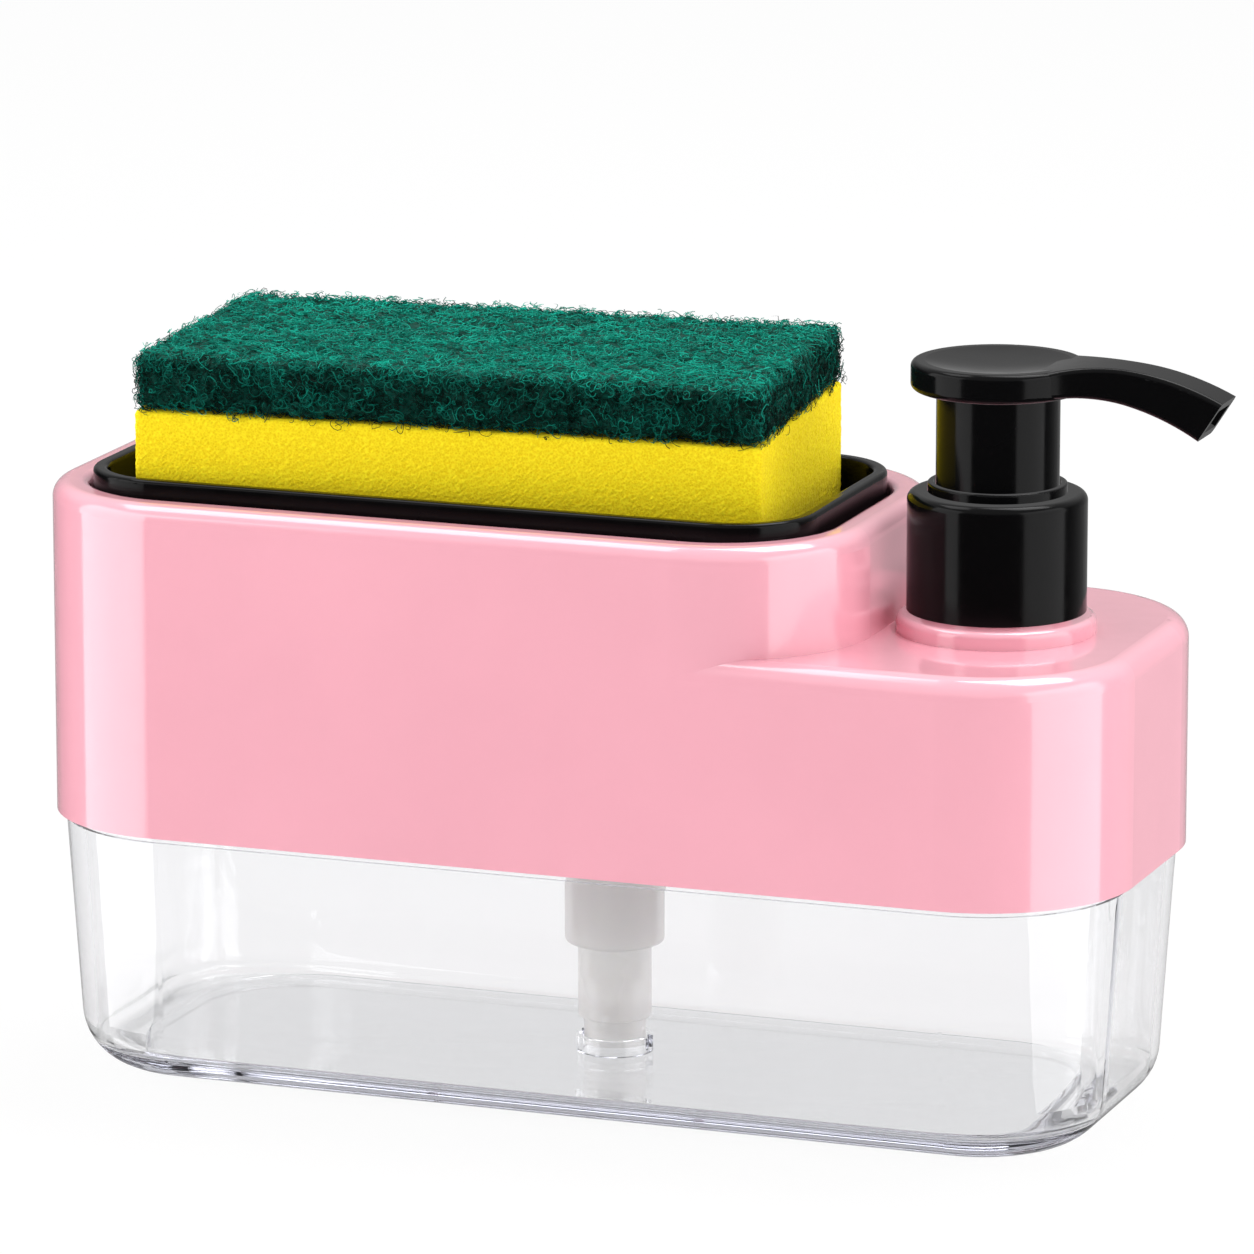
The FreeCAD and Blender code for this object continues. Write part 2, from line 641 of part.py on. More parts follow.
tray = new_body("sponge_tray")
tray_outline = new_sketch(tray, "outline", "XY_Plane", tray_bottom)
draw_rounded(tray_outline, tray_left, tray_right, -tray_back, tray_back, tray_radius)
pad(tray, "block", tray_outline, tray_top - tray_bottom)
round_off(tray, "bottom_round", tray_bottom_round, lambda e: flat_at(e, tray_bottom))
tray_hollow = new_sketch(tray, "hollow_outline", "XY_Plane", tray_top)
draw_rounded(tray_hollow, tray_left + tray_wall, tray_right - tray_wall,
             tray_wall - tray_back, tray_back - tray_wall, tray_radius - tray_wall)
pocket(tray, "hollow", tray_hollow, tray_top - tray_inside)
round_off(tray, "rim_round", tray_edge, lambda e: flat_at(e, tray_top))
round_off(tray, "inside_round", tray_bottom_round, lambda e: flat_at(e, tray_inside))
tray_reach = (tray_right - tray_left) / 2
feet = new_sketch(tray, "feet_outline", "XY_Plane", deck_height)
for x_side in (-1, 1):
    for y_side in (-1, 1):
        draw_circle(feet, tray_foot_radius, tray_middle + x_side * (tray_reach - tray_radius),
                    y_side * (tray_back - tray_radius))
pad(tray, "feet", feet, tray_foot + tray_floor / 2)
drains = new_sketch(tray, "drain_outline", "XY_Plane", tray_inside)
for step in range(-3, 4):
    middle = tray_middle + step * drain_pitch
    draw_box(drains, middle - drain_width / 2, middle + drain_width / 2, -drain_length / 2, drain_length / 2)
pocket(tray, "drains", drains, 2 * tray_floor)
ridges = new_sketch(tray, "ridge_outline", "XY_Plane", tray_inside - tray_floor / 2)
for step in range(-3, 3):
    middle = tray_middle + (step + 0.5) * drain_pitch
    draw_box(ridges, middle - ridge_width / 2, middle + ridge_width / 2, -drain_length / 2, drain_length / 2)
pad(tray, "ridges", ridges, tray_floor / 2 + ridge_height)

# Sponge: foam layer and scouring layer, turned a little in the tray and squeezed along its front


def standing(edge):
    box = edge.BoundBox
    return box.XLength < 1e-6 and box.YLength < 1e-6


def sponge_layer(label, low, low_lean, high, high_lean):
    """One layer. A lean is the height of a face's back edge above its middle."""
    body = new_body(label)
    sketch = new_sketch(body, "outline", "YZ_Plane")
    draw_outline(sketch, [
        (-sponge_depth / 2, low - low_lean), (sponge_depth / 2, low + low_lean),
        (sponge_depth / 2, high + high_lean), (-sponge_depth / 2, high - high_lean)])
    pad(body, "block", sketch, sponge_length, middle=True)
    round_off(body, "corner_round", sponge_corner, standing)
    move(body, tray_middle)
    bind(body, "Placement.Rotation.Angle", sponge_turn)
    return body


foam_lean = sponge_squeeze / 2
sponge_layer("sponge_foam", sponge_bottom, as_dim(0), foam_top, foam_lean)
sponge_layer("scouring_pad", foam_top, foam_lean, foam_top + pad_height, foam_lean)

# Closure: outer shell with a ring around the head's skirt, and the insert that snaps over the neck

closure = new_body("closure_shell")
turn(closure, "form", [
    (closure_radius - closure_wall, closure_bottom), (closure_radius, closure_bottom),
    (closure_radius, closure_top), (collar_bore + collar_wall, closure_top),
    (collar_bore + collar_wall, collar_top), (collar_bore, collar_top),
    (collar_bore, closure_top - closure_wall), (closure_radius - closure_wall, closure_top - closure_wall)])
round_off(closure, "top_round", closure_round, ring_at(closure_top, closure_radius))
round_off(closure, "collar_round", collar_round, ring_at(collar_top, collar_bore + collar_wall))
move(closure, pump_x)

insert_radius = closure_radius - closure_wall - insert_slack
insert_low = closure_bottom + closure_gap
insert = new_body("closure_insert")
turn(insert, "form", [
    (insert_radius - insert_wall + neck_bead, insert_low), (insert_radius, insert_low), (insert_radius, guide_top),
    (guide_radius + housing_gap, guide_top), (guide_radius + housing_gap, flange_top),
    (insert_radius - insert_wall + neck_bead, flange_top)])
move(insert, pump_x)

# Pump parts that stay with the cover

gasket = new_body("neck_gasket")
turn(gasket, "form", [
    (neck_bore, neck_top), (flange_radius, neck_top), (flange_radius, flange_bottom), (neck_bore, flange_bottom)])
move(gasket, pump_x)

housing = new_body("pump_housing")
turn(housing, "form", [
    (as_dim(0), housing_bottom), (housing_radius, housing_bottom), (housing_radius, flange_bottom),
    (flange_radius, flange_bottom), (flange_radius, flange_top), (housing_bore, flange_top),
    (housing_bore, spring_seat), (as_dim(0), spring_seat)])
spigot_root = (housing_radius + housing_bore) / 2
spigot = new_sketch(housing, "spigot_outline", "YZ_Plane", -spigot_root)
draw_circle(spigot, spigot_radius, 0, pipe_height)
pad(housing, "spigot", spigot, housing_radius - spigot_root + spigot_reach, reverse=True)
port = new_sketch(housing, "port_outline", "YZ_Plane", -housing_bore / 2)
draw_circle(port, spigot_bore, 0, pipe_height)
pocket(housing, "port", port, housing_radius + spigot_reach)
move(housing, pump_x)

guide = new_body("stem_guide")
turn(guide, "form", [
    (guide_bore, guide_bottom), (housing_bore - guide_slack, guide_bottom), (housing_bore - guide_slack, flange_top),
    (guide_radius, flange_top), (guide_radius, guide_top), (guide_bore, guide_top)])
move(guide, pump_x)

spring = new_body("return_spring")
wire = new_sketch(spring, "wire_outline", "XZ_Plane")
spring_low = spring_seat + spring_slack + spring_wire / 2
spring_span = piston_bottom - spring_slack - spring_wire / 2 - spring_low
draw_circle(wire, spring_wire / 2, spring_radius, spring_low)
coil = spring.newObject("PartDesign::AdditiveHelix", "return_spring_coil")
coil.Profile = wire
coil.ReferenceAxis = (wire, ["V_Axis"])
coil.Mode = "height-turns-angle"
bind(coil, "Height", spring_span)
bind(coil, "Turns", spring_turns)
wire.Visibility = False
spring.Tip = coil
doc.recompute()
move(spring, pump_x)

# Plunger: stem with the outlet ball's seat near its top, and the piston

stem = new_body("pump_stem")
turn(stem, "form", [
    (stem_bore, piston_bottom + stem_foot), (stem_radius, piston_bottom + stem_foot), (stem_radius, stem_top),
    (outlet_ball_radius + ball_side_gap, stem_top), (outlet_ball_radius + ball_side_gap, outlet_seat_top),
    (outlet_seat, outlet_seat_top), (outlet_seat, outlet_seat_top - seat_plate),
    (stem_bore, outlet_seat_top - seat_plate)])
move(stem, pump_x)

piston = new_body("piston")
lip_break = piston_bottom + piston_lip
lip_rejoin = piston_top - piston_lip
turn(piston, "form", [
    (outlet_seat, piston_bottom), (piston_radius, piston_bottom), (piston_radius, lip_break),
    (piston_radius - piston_waist, lip_break + piston_waist),
    (piston_radius - piston_waist, lip_rejoin - piston_waist), (piston_radius, lip_rejoin),
    (piston_radius, piston_top), (stem_radius + guide_slack, piston_top),
    (stem_radius + guide_slack, piston_bottom + stem_foot), (outlet_seat, piston_bottom + stem_foot)])
move(piston, pump_x)


def ball(label, radius, seat, seat_top):
    """Ball that closes a round seat, and the height of its middle."""
    body = doc.addObject("Part::Sphere", label)
    body.Label = label
    bind(body, "Radius", radius)
    drop = root(radius * radius - seat * seat)
    return body, seat_top + drop + ball_seat_gap


outlet_ball, outlet_ball_height = ball("outlet_ball", outlet_ball_radius, outlet_seat, outlet_seat_top)
move(outlet_ball, pump_x, 0, outlet_ball_height)

# Pump head: curved hollow spout, then skirt, dished finger disc and stem socket

head = new_body("pump_head")
socket_bore = stem_radius + head_slack
spout_low = disc_bottom + spout_inset
spout_high = disc_top - spout_inset
tip_low = spout_reach - spout_tip_back
spout = new_sketch(head, "spout_outline", "XZ_Plane")
draw_outline(spout, [
    (spout_root, spout_low), (disc_radius, spout_low, spout_under_radius, 1),
    (tip_low, spout_tip_bottom), (spout_reach, spout_tip_top, spout_top_radius, -1),
    (spout_root, spout_high)])
pad(head, "spout", spout, 2 * disc_radius, middle=True)
trim = new_sketch(head, "spout_sides", "XY_Plane", disc_top + disc_height)
trim_end = spout_reach + disc_radius
trim_side = 2 * disc_radius
half_spout = spout_width / 2
blend_edge = disc_radius - blend_inset
blend_square = spout_straight * spout_straight + half_spout * half_spout - blend_edge * blend_edge
spout_blend = blend_square / (2 * (blend_edge - half_spout))
blend_share = blend_edge / (blend_edge + spout_blend)
blend_x = blend_share * spout_straight
blend_y = blend_share * (half_spout + spout_blend)
for side in (-1, 1):
    draw_outline(trim, [
        (spout_straight, side * half_spout), (trim_end, side * half_spout),
        (trim_end, side * trim_side), (spout_root / 2, side * trim_side),
        (spout_root / 2, side * blend_y), (blend_x, side * blend_y, spout_blend, -side)])
pocket(head, "spout_trim", trim, 2 * disc_height + disc_top - spout_tip_bottom)


def spout_edge_test(edge):
    """Long edges of the spout outside the disc."""
    box = edge.BoundBox
    return box.XMax > tip_low.value - 1e-3 and box.XLength > spout_run.value / 2


round_off(head, "spout_round", spout_edge, spout_edge_test)
channel_low = spout_low + spout_wall
dish_edge = root(2 * dish_radius * dish_depth - dish_depth * dish_depth)
turn(head, "form", [
    (socket_bore, socket_bottom), (socket_bore + socket_wall, socket_bottom),
    (socket_bore + socket_wall, disc_bottom), (head_skirt_radius - head_skirt_wall, disc_bottom),
    (head_skirt_radius - head_skirt_wall, head_bottom), (head_skirt_radius, head_bottom),
    (head_skirt_radius, disc_bottom), (disc_radius - disc_round, disc_bottom, disc_round, -1),
    (disc_radius, disc_bottom + disc_round), (disc_radius, disc_top - disc_round, disc_round, -1),
    (disc_radius - disc_round, disc_top), (dish_edge, disc_top, dish_radius, 1),
    (as_dim(0), disc_top - dish_depth), (as_dim(0), channel_low), (stem_bore, channel_low),
    (stem_bore, stem_top + head_slack),
    (socket_bore, stem_top + head_slack)])
channel = new_sketch(head, "channel_outline", "XZ_Plane")
draw_outline(channel, [
    (as_dim(0), channel_low), (disc_radius, channel_low, spout_under_radius - spout_wall, 1),
    (tip_low + spout_wall, spout_tip_bottom + spout_wall),
    (spout_reach + spout_wall, spout_tip_bottom + spout_wall),
    (spout_reach + spout_wall, spout_tip_top - 2 * spout_wall),
    (spout_reach - spout_wall, spout_tip_top - spout_wall, spout_top_radius - spout_wall, -1),
    (disc_radius, channel_low + channel_height), (as_dim(0), channel_low + channel_height)])
pocket(head, "channel", channel, spout_width - 2 * spout_wall, middle=True)
move(head, pump_x)

# Suction pipe under the deck, and the pick-up that hangs in the middle of the tank

pipe = new_body("suction_pipe")
pipe_bore = spigot_radius + pipe_slack
pipe_start = pickup_radius + spigot_gap
pipe_end = pump_x - housing_radius - spigot_gap
pipe_outline = new_sketch(pipe, "outline", "YZ_Plane", pipe_start)
draw_circle(pipe_outline, pipe_bore + pipe_wall, 0, pipe_height)
draw_circle(pipe_outline, pipe_bore, 0, pipe_height)
pad(pipe, "tube", pipe_outline, pipe_end - pipe_start)

elbow = new_body("pickup_elbow")
plug_radius = pickup_radius - pickup_wall - pickup_slack
post_top = deck_height - deck_plate - post_gap
turn(elbow, "form", [
    (elbow_bore, pickup_top - pickup_plug), (plug_radius, pickup_top - pickup_plug), (plug_radius, pickup_top),
    (pickup_radius, pickup_top), (pickup_radius, elbow_top), (elbow_post, elbow_top),
    (elbow_post, post_top), (as_dim(0), post_top),
    (as_dim(0), elbow_top - pickup_wall), (elbow_bore, elbow_top - pickup_wall)])
elbow_spigot = new_sketch(elbow, "spigot_outline", "YZ_Plane", pickup_radius - pickup_wall)
draw_circle(elbow_spigot, spigot_radius, 0, pipe_height)
pad(elbow, "spigot", elbow_spigot, pickup_wall + spigot_reach)
elbow_port = new_sketch(elbow, "port_outline", "YZ_Plane", elbow_bore / 2)
draw_circle(elbow_port, spigot_bore, 0, pipe_height)
pocket(elbow, "port", elbow_port, pickup_radius + spigot_reach, reverse=True)

pickup = new_body("pickup_tube")
turn(pickup, "form", [
    (pickup_radius - pickup_wall, pickup_step), (pickup_radius, pickup_step), (pickup_radius, pickup_top),
    (pickup_radius - pickup_wall, pickup_top)])
round_off(pickup, "step_round", step_round, ring_at(pickup_step, pickup_radius))

foot = new_body("pickup_foot")
chamber_radius = inlet_ball_radius + ball_side_gap
chamber_top = inlet_seat_top + inlet_chamber
turn(foot, "form", [
    (inlet_seat, foot_bottom), (foot_tip_radius, foot_bottom), (foot_tip_radius, foot_bottom + foot_tip_height),
    (foot_radius, foot_bottom + foot_tip_height), (foot_radius, pickup_step), (plug_radius, pickup_step),
    (plug_radius, foot_plug_top), (elbow_bore, foot_plug_top), (elbow_bore, chamber_top + seat_plate),
    (inlet_throat, chamber_top + seat_plate), (inlet_throat, chamber_top), (chamber_radius, chamber_top),
    (chamber_radius, inlet_seat_top), (inlet_seat, inlet_seat_top)])
round_off(foot, "tip_round", foot_tip_round, ring_at(foot_bottom + foot_tip_height, foot_radius))

inlet_ball, inlet_ball_height = ball("inlet_ball", inlet_ball_radius, inlet_seat, inlet_seat_top)
move(inlet_ball, 0, 0, inlet_ball_height)


# Check every object and write the parts

doc.recompute()
bodies = [o for o in doc.Objects if o.TypeId in ("PartDesign::Body", "Part::Sphere")]
for obj in doc.Objects:
    if "Invalid" in obj.State or "Error" in obj.State:
        raise ValueError("bad object " + obj.Label + " " + str(obj.State))
for body in bodies:
    if body.Shape.isNull() or not body.Shape.isValid():
        raise ValueError("bad shape " + body.Label)
    if len(body.Shape.Solids) != 1:
        raise ValueError("not one solid " + body.Label)
    body.Shape.exportStep("parts/" + body.Label + ".step")
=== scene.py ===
import json
import math

import bmesh
import bpy
import numpy as np
from mathutils import Matrix, Vector
from mathutils.kdtree import KDTree


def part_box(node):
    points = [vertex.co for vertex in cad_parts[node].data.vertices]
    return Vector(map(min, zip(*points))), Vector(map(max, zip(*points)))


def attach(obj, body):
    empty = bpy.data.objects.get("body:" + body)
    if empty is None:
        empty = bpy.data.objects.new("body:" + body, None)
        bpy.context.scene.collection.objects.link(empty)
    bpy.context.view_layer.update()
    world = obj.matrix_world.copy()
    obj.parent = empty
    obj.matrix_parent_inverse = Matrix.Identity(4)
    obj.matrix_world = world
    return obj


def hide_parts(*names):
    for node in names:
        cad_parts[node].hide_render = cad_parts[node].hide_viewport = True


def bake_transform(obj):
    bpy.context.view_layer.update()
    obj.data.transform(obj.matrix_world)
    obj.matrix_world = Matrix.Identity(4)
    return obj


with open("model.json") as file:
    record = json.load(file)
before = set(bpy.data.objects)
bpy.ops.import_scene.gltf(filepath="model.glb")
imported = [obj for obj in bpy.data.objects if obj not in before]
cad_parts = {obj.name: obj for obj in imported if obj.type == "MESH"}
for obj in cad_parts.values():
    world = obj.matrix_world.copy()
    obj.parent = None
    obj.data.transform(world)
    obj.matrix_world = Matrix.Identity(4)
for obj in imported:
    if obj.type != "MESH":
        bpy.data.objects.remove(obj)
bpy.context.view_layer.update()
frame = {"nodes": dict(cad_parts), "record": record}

# Soap pump caddy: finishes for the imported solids, a porous foam layer and a matted fibre layer
# for the sponge, and a white studio with two tall soft boxes.

MM = 0.001

# Camera, as fitted to the photograph

IMAGE_PIXELS = 1254
FOCAL_PIXELS = 8650
SENSOR = 36.0
CAMERA_TURN = math.radians(20.36)
CAMERA_RISE = math.radians(12.76)
CAMERA_DISTANCE = 1.626
CAMERA_ASIDE = 1.82 * MM
CAMERA_UP = 84.19 * MM

# Colours, linear

PINK = (0.875, 0.410, 0.490)
BLACK = (0.0026, 0.0026, 0.0028)
CLEAR = (0.945, 0.946, 0.950)
CLEAR_DEPTH = (0.74, 0.745, 0.79)
CLEAR_DENSITY = 24.0
CLEAR_INDEX = 1.49
MILKY = (0.98, 0.965, 0.945)
MILKY_COVER = 0.5
WHITE = (0.80, 0.80, 0.78)
SEAL = (0.55, 0.55, 0.54)
STEEL = (0.62, 0.62, 0.63)
FOAM_LIGHT = (1.0, 0.83, 0.020)
FOAM_DARK = (0.84, 0.60, 0.005)
FIBRE_LIGHT = (0.006, 0.500, 0.360)
FIBRE_DARK = (0.0002, 0.012, 0.008)
FLOOR = (0.88, 0.88, 0.88)


# Material helpers

def new_material(name):
    material = bpy.data.materials.new(name)
    material.use_nodes = True
    nodes = material.node_tree.nodes
    shader = nodes["Principled BSDF"]
    return material, nodes, material.node_tree.links, shader


def texture_noise(nodes, links, scale, detail=3.0, roughness=0.5):
    """Noise in the object's own coordinates, in metres."""
    coordinates = nodes.new("ShaderNodeTexCoord")
    noise = nodes.new("ShaderNodeTexNoise")
    noise.inputs["Scale"].default_value = scale
    noise.inputs["Detail"].default_value = detail
    noise.inputs["Roughness"].default_value = roughness
    links.new(coordinates.outputs["Object"], noise.inputs["Vector"])
    return noise


def spread(nodes, links, source, low, high):
    """Map a 0 to 1 signal to a range."""
    mapped = nodes.new("ShaderNodeMapRange")
    mapped.inputs["From Min"].default_value = 0.3
    mapped.inputs["From Max"].default_value = 0.7
    mapped.inputs["To Min"].default_value = low
    mapped.inputs["To Max"].default_value = high
    links.new(source, mapped.inputs["Value"])
    return mapped.outputs["Result"]


def shade_between(nodes, links, source, first, second):
    ramp = nodes.new("ShaderNodeValToRGB")
    ramp.color_ramp.elements[0].position = 0.3
    ramp.color_ramp.elements[0].color = (*first, 1)
    ramp.color_ramp.elements[1].position = 0.7
    ramp.color_ramp.elements[1].color = (*second, 1)
    links.new(source, ramp.inputs["Fac"])
    return ramp.outputs["Color"]


def add_bump(nodes, links, shader, source, strength, distance):
    bump = nodes.new("ShaderNodeBump")
    bump.inputs["Strength"].default_value = strength
    bump.inputs["Distance"].default_value = distance
    links.new(source, bump.inputs["Height"])
    links.new(bump.outputs["Normal"], shader.inputs["Normal"])


def scaled(colour, factor):
    return tuple(min(1.0, c * factor) for c in colour)


DRIFT_SCALE = 18.0
GLOSS_SCALE = 260.0
RIPPLE_SCALE = 55.0
RIPPLE_HEIGHT = 0.4 * MM


def moulded_plastic(name, colour, gloss, variation=0.03, ripple=0.02):
    """Moulded plastic: faint colour drift, uneven gloss and a slight surface ripple."""
    material, nodes, links, shader = new_material(name)
    drift = texture_noise(nodes, links, DRIFT_SCALE)
    tint = shade_between(nodes, links, drift.outputs["Fac"],
                         scaled(colour, 1 - variation), scaled(colour, 1 + variation))
    links.new(tint, shader.inputs["Base Color"])
    fine = texture_noise(nodes, links, GLOSS_SCALE, 4.0)
    uneven = spread(nodes, links, fine.outputs["Fac"], gloss * 0.8, gloss * 1.25)
    links.new(uneven, shader.inputs["Roughness"])
    wave = texture_noise(nodes, links, RIPPLE_SCALE, 2.0)
    add_bump(nodes, links, shader, wave.outputs["Fac"], ripple, RIPPLE_HEIGHT)
    return material, shader


def pink_plastic():
    material, shader = moulded_plastic("pink_plastic", PINK, 0.16)
    shader.inputs["Coat Weight"].default_value = 0.75
    shader.inputs["Coat Roughness"].default_value = 0.06
    return material


def black_plastic():
    material, shader = moulded_plastic("black_plastic", BLACK, 0.15, 0.15, 0.008)
    shader.inputs["Specular IOR Level"].default_value = 0.1
    return material


def clear_plastic():
    """Polished clear plastic with a trace of haze, greyer where light runs a long way inside it."""
    material, nodes, links, shader = new_material("clear_plastic")
    haze = texture_noise(nodes, links, 30.0)
    links.new(shade_between(nodes, links, haze.outputs["Fac"], scaled(CLEAR, 0.995), CLEAR),
              shader.inputs["Base Color"])
    links.new(spread(nodes, links, haze.outputs["Fac"], 0.0, 0.015), shader.inputs["Roughness"])
    shader.inputs["Transmission Weight"].default_value = 1.0
    shader.inputs["IOR"].default_value = CLEAR_INDEX
    depth = nodes.new("ShaderNodeVolumeAbsorption")
    depth.inputs["Color"].default_value = (*CLEAR_DEPTH, 1)
    depth.inputs["Density"].default_value = CLEAR_DENSITY
    links.new(depth.outputs["Volume"], nodes["Material Output"].inputs["Volume"])
    return material


def milky_plastic():
    """Translucent plastic of the pick-up and the pipe, a little uneven."""
    material, nodes, links, shader = new_material("milky_plastic")
    bands = texture_noise(nodes, links, 60.0)
    links.new(shade_between(nodes, links, bands.outputs["Fac"], scaled(MILKY, 0.95), MILKY),
              shader.inputs["Base Color"])
    links.new(spread(nodes, links, bands.outputs["Fac"], 0.25, 0.36), shader.inputs["Roughness"])
    shader.inputs["Subsurface Weight"].default_value = 0.35
    shader.inputs["Subsurface Radius"].default_value = (1.0, 1.0, 0.9)
    shader.inputs["Subsurface Scale"].default_value = 3.0 * MM
    shader.inputs["Alpha"].default_value = MILKY_COVER
    return material


def inner_plastic():
    return moulded_plastic("inner_plastic", WHITE, 0.32)[0]


def seal_rubber():
    return moulded_plastic("seal_rubber", SEAL, 0.5, 0.06, 0.05)[0]


def bright_steel():
    material, shader = moulded_plastic("bright_steel", STEEL, 0.2, 0.05)
    shader.inputs["Metallic"].default_value = 1.0
    return material


PORE_SCALE = 2300.0
GRAIN_SCALE = 3000.0
GRAIN_HEIGHT = 0.2 * MM


def foam_material():
    """Fine foam: dark specks in a bright yellow at two scales, painted shade inside the pores mixed with
    grain.
    """
    material, nodes, links, shader = new_material("yellow_foam")
    coordinates = nodes.new("ShaderNodeTexCoord")
    pores = nodes.new("ShaderNodeTexVoronoi")
    pores.inputs["Scale"].default_value = PORE_SCALE
    links.new(coordinates.outputs["Object"], pores.inputs["Vector"])
    grain = texture_noise(nodes, links, GRAIN_SCALE, 3.0, 0.6)
    blend = nodes.new("ShaderNodeMix")
    blend.inputs["Factor"].default_value = 0.5
    links.new(pores.outputs["Distance"], blend.inputs["A"])
    links.new(grain.outputs["Fac"], blend.inputs["B"])
    # Dark specks: the voronoi pores give painted shade inside the pores, the noise gives the foam's grain.
    links.new(shade_between(nodes, links, blend.outputs["Result"], FOAM_DARK, FOAM_LIGHT),
              shader.inputs["Base Color"])
    add_bump(nodes, links, shader, blend.outputs["Result"], 0.8, GRAIN_HEIGHT)
    shader.inputs["Roughness"].default_value = 0.95
    shader.inputs["Specular IOR Level"].default_value = 0.1
    shader.inputs["Sheen Weight"].default_value = 0.1
    shader.inputs["Sheen Tint"].default_value = (1.0, 0.9, 0.2, 1.0)
    return material


def fibre_material():
    """Matted fibres: each strand's colour comes from the mesh's tint, a random tone plus painted light and
    shade.
    """
    material, nodes, links, shader = new_material("green_fibre")
    tint = nodes.new("ShaderNodeAttribute")
    tint.attribute_name = "tint"
    ramp = nodes.new("ShaderNodeValToRGB")
    ramp.color_ramp.elements[0].color = (*FIBRE_DARK, 1)
    ramp.color_ramp.elements[1].color = (*FIBRE_LIGHT, 1)
    links.new(tint.outputs["Fac"], ramp.inputs["Fac"])
    links.new(ramp.outputs["Color"], shader.inputs["Base Color"])
    wear = texture_noise(nodes, links, 400.0)
    links.new(spread(nodes, links, wear.outputs["Fac"], 0.4, 0.65), shader.inputs["Roughness"])
    shader.inputs["Specular IOR Level"].default_value = 0.1
    return material


MATERIALS = {
    "clear_plastic": clear_plastic(),
    "pink_plastic": pink_plastic(),
    "black_plastic": black_plastic(),
    "milky_plastic": milky_plastic(),
    "white_plastic": inner_plastic(),
    "soft_seal": seal_rubber(),
    "spring_steel": bright_steel(),
    "ball_steel": bright_steel(),
}


def finish_node(node, material):
    mesh = frame["nodes"][node].data
    mesh.materials.clear()
    mesh.materials.append(material)


for part in frame["record"]["subparts"]:
    if part["material_slot"] in MATERIALS:
        finish_node(part["node"], MATERIALS[part["material_slot"]])


def make_spring():
    """Coil copied as a mesh of its own, in place of the imported return spring."""
    node = frame["nodes"]["return_spring"]
    obj = bpy.data.objects.new("spring_coil", node.data.copy())
    obj.matrix_world = node.matrix_world.copy()
    bpy.context.scene.collection.objects.link(obj)
    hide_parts("return_spring")
    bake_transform(obj)


make_spring()

# Sponge

SPONGE_LENGTH_MM = 121.0
SPONGE_DEPTH_MM = 54.4
SPONGE_SQUEEZE_MM = 2.6
SPONGE_SIZE = Vector((SPONGE_LENGTH_MM, SPONGE_DEPTH_MM, 0)) * MM
SPONGE_TURN = math.radians(3.0)
SPONGE_LEAN = SPONGE_SQUEEZE_MM / SPONGE_DEPTH_MM
PAD_THICK = 11.0 * MM
foam_low, foam_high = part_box("sponge_foam")
pad_low, pad_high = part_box("scouring_pad")
sponge_middle = (Vector(foam_low) + Vector(foam_high)) / 2
SEED = 11
WELD = 0.01 * MM


def sponge_frame(height):
    """Place of a sponge layer: turned in the tray, at a height."""
    place = Matrix.Translation((sponge_middle.x, sponge_middle.y, height))
    return place @ Matrix.Rotation(SPONGE_TURN, 4, "Z")


def rounded_block(size, cell, radius):
    """Even grid of points and quads on a block with rounded edges, centred on the origin."""
    half = np.array(size) / 2
    points = []
    faces = []
    for axis in range(3):
        u, v = [a for a in range(3) if a != axis]
        counts = [max(2, int(round(size[a] / cell))) for a in (u, v)]
        grid_u, grid_v = np.meshgrid(np.linspace(-half[u], half[u], counts[0] + 1),
                                     np.linspace(-half[v], half[v], counts[1] + 1), indexing="ij")
        for side in (-1, 1):
            base = len(points)
            face_points = np.zeros((grid_u.size, 3))
            face_points[:, u] = grid_u.ravel()
            face_points[:, v] = grid_v.ravel()
            face_points[:, axis] = side * half[axis]
            points.extend(face_points)
            row = counts[1] + 1
            outward = side * (-1 if axis == 1 else 1)
            for i in range(counts[0]):
                for j in range(counts[1]):
                    a = base + i * row + j
                    quad = (a, a + row, a + row + 1, a + 1)
                    faces.append(quad if outward > 0 else quad[::-1])
    points = np.array(points)
    core = np.clip(points, -(half - radius), half - radius)
    away = points - core
    length = np.linalg.norm(away, axis=1, keepdims=True)
    points = core + away / np.maximum(length, 1e-9) * radius
    return points, faces


def mesh_object(name, points, faces, material, weld=0.0):
    mesh = bpy.data.meshes.new(name)
    mesh.from_pydata([tuple(p) for p in points], [], [tuple(f) for f in faces])
    if weld:
        work = bmesh.new()
        work.from_mesh(mesh)
        bmesh.ops.remove_doubles(work, verts=work.verts, dist=weld)
        work.to_mesh(mesh)
        work.free()
    mesh.materials.append(material)
    obj = bpy.data.objects.new(name, mesh)
    bpy.context.scene.collection.objects.link(obj)
    return obj


def coordinates_of(mesh):
    flat = np.empty(len(mesh.vertices) * 3)
    mesh.vertices.foreach_get("co", flat)
    return flat.reshape(-1, 3)


def normals_of(mesh):
    flat = np.empty(len(mesh.vertices) * 3)
    mesh.vertices.foreach_get("normal", flat)
    return flat.reshape(-1, 3)


FOAM_CELL = 0.5 * MM
FOAM_ROUND = 1.0 * MM
FOAM_GRAIN = 0.04 * MM
FOAM_PORES = 7000
FOAM_PORE_RADIUS = (0.4 * MM, 0.8 * MM)
FOAM_PORE_DEPTH = 0.045 * MM
FOAM_INSET = 0.1 * MM


